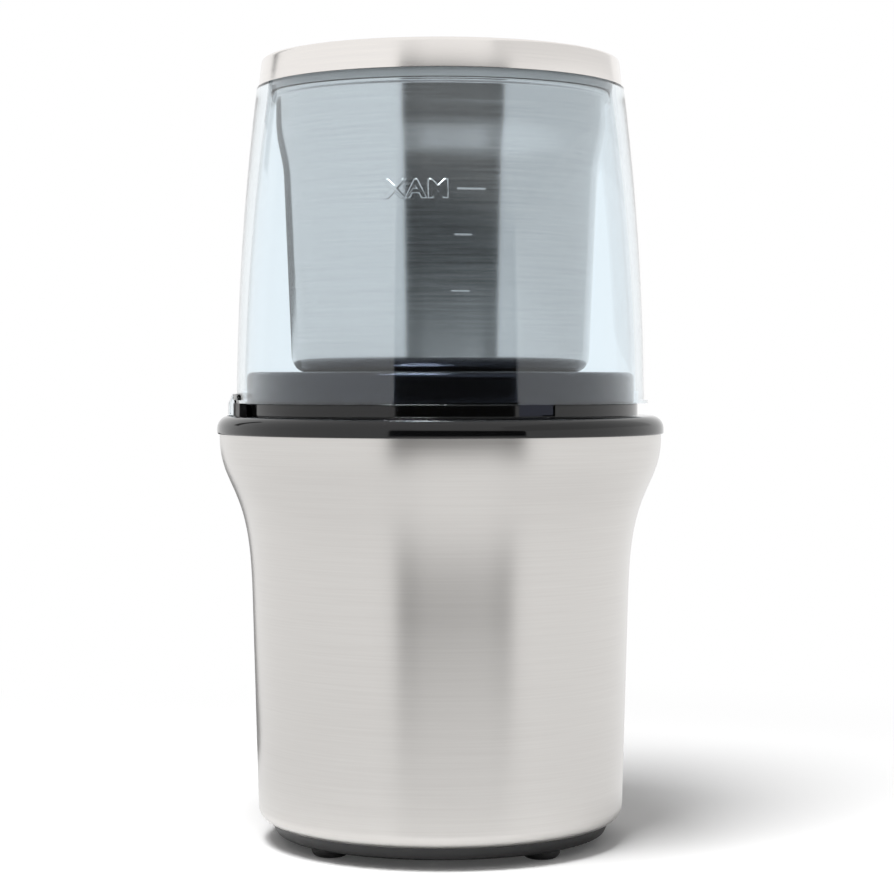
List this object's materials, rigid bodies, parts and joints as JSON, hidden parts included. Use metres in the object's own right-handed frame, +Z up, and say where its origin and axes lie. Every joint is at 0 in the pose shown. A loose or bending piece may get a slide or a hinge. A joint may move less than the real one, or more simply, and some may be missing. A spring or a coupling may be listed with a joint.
{
  "type": "electric spice grinder",
  "caption": "Upright motorised blade grinder for spices and coffee: steel base, lift-out steel cup in a coupling collar, and a clear press-down lid that works the switch.",
  "frame": {"origin": "centre of the grinder's axis on the surface it stands on, under the rubber feet", "axes": "+Z up along the axis, the front faces -Y, the tab and push rod of the lid are on -X, the mains lead leaves on +Y"},
  "size_m": [0.1118, 0.1118, 0.1948],
  "materials": {
    "shell_steel": "brushed round the axis",
    "cap_steel": "brushed round the axis",
    "cup_steel": "brushed round the axis",
    "gloss_black_plastic": "high gloss",
    "black_plastic": "moulded satin",
    "collar_plastic": "moulded satin",
    "clear_plastic": "clear, polished",
    "foot_rubber": "matt",
    "silicone": "matt",
    "zinc_steel": "zinc plated",
    "blade_steel": "ground",
    "bronze": "sintered",
    "brass": "pressed",
    "copper": "enamelled",
    "lamination_steel": "stamped",
    "cast_aluminium": "die cast",
    "carbon": "matt",
    "spring_steel": "drawn",
    "fan_plastic": "moulded",
    "rod_plastic": "moulded",
    "coupler_plastic": "moulded",
    "switch_plastic": "moulded",
    "button_plastic": "moulded"
  },
  "bodies": {
    "base": {"base_plate": "black_plastic", "base_screws": "zinc_steel", "bearing_bottom": "bronze", "bearing_top": "bronze", "body_shell": "shell_steel", "bracket_screws": "zinc_steel", "brush_holders": "brass", "brush_springs": "spring_steel", "carbon_brushes": "carbon", "cord_gland": "black_plastic", "feet": "foot_rubber", "field_coils": "copper", "motor_bolts": "zinc_steel", "motor_bottom_bracket": "cast_aluminium", "motor_dampers": "foot_rubber", "motor_screws": "zinc_steel", "motor_top_bracket": "cast_aluminium", "return_spring": "spring_steel", "stator_core": "lamination_steel", "switch_body": "switch_plastic", "switch_bracket": "black_plastic", "switch_screws": "zinc_steel", "upper_housing": "gloss_black_plastic"},
    "rotor": {"motor_shaft": "blade_steel", "rotor_core": "lamination_steel", "rotor_winding": "copper", "commutator": "copper", "motor_fan": "fan_plastic", "drive_coupler": "coupler_plastic"},
    "push_rod": {"push_rod": "rod_plastic"},
    "lid": {"lid_cover": "clear_plastic", "lid_cap": "cap_steel", "lid_seal": "silicone", "lid_pusher": "black_plastic"},
    "cup": {"grinding_cup": "cup_steel", "cup_collar": "collar_plastic", "floor_washer": "silicone", "shaft_bush": "bronze", "bush_nut": "zinc_steel", "shaft_seal": "silicone"},
    "blade": {"blade": "blade_steel", "blade_shaft": "blade_steel", "blade_hub": "blade_steel", "blade_nut": "blade_steel", "shaft_clip": "blade_steel", "cup_coupler": "coupler_plastic"},
    "switch_lever": {"switch_lever": "spring_steel"},
    "switch_button": {"switch_button": "button_plastic"}
  },
  "joints": [
    {"name": "press", "type": "slide", "parent": "base", "child": "push_rod", "axis": [0, 0, -1], "range_m": [0, 0.0026], "stiffness_N_per_m": 2000, "springref_m": -0.003, "deforming": ["return_spring"]},
    {"name": "lid_lift", "type": "slide", "parent": "push_rod", "child": "lid", "axis": [0, 0, 1], "range_m": [0, 0.165]},
    {"name": "cup_lift", "type": "slide", "parent": "base", "child": "cup", "axis": [0, 0, 1], "range_m": [0, 0.063]},
    {"name": "motor_spin", "type": "hinge", "parent": "base", "child": "rotor", "pos_m": [0, 0, 0.052], "axis": [0, 0, 1], "continuous": true},
    {"name": "blade_spin", "type": "hinge", "parent": "cup", "child": "blade", "pos_m": [0, 0, 0.12365], "axis": [0, 0, 1], "continuous": true},
    {"name": "lever_tilt", "type": "hinge", "parent": "base", "child": "switch_lever", "pos_m": [-0.0361, 0.0084, 0.0771], "axis": [1, 0, 0], "range_deg": [0, 9.5]},
    {"name": "button_press", "type": "slide", "parent": "base", "child": "switch_button", "axis": [0, 0, -1], "range_m": [0, 0.0011]}
  ],
  "couplings": [
    {"joint": "cup_lift", "follows": "lid_lift", "ratio": 0.38},
    {"joint": "blade_spin", "follows": "motor_spin", "ratio": 1},
    {"joint": "lever_tilt", "follows": "press", "rad_per_m": 62.5},
    {"joint": "button_press", "follows": "press", "ratio": 0.42}
  ]
}
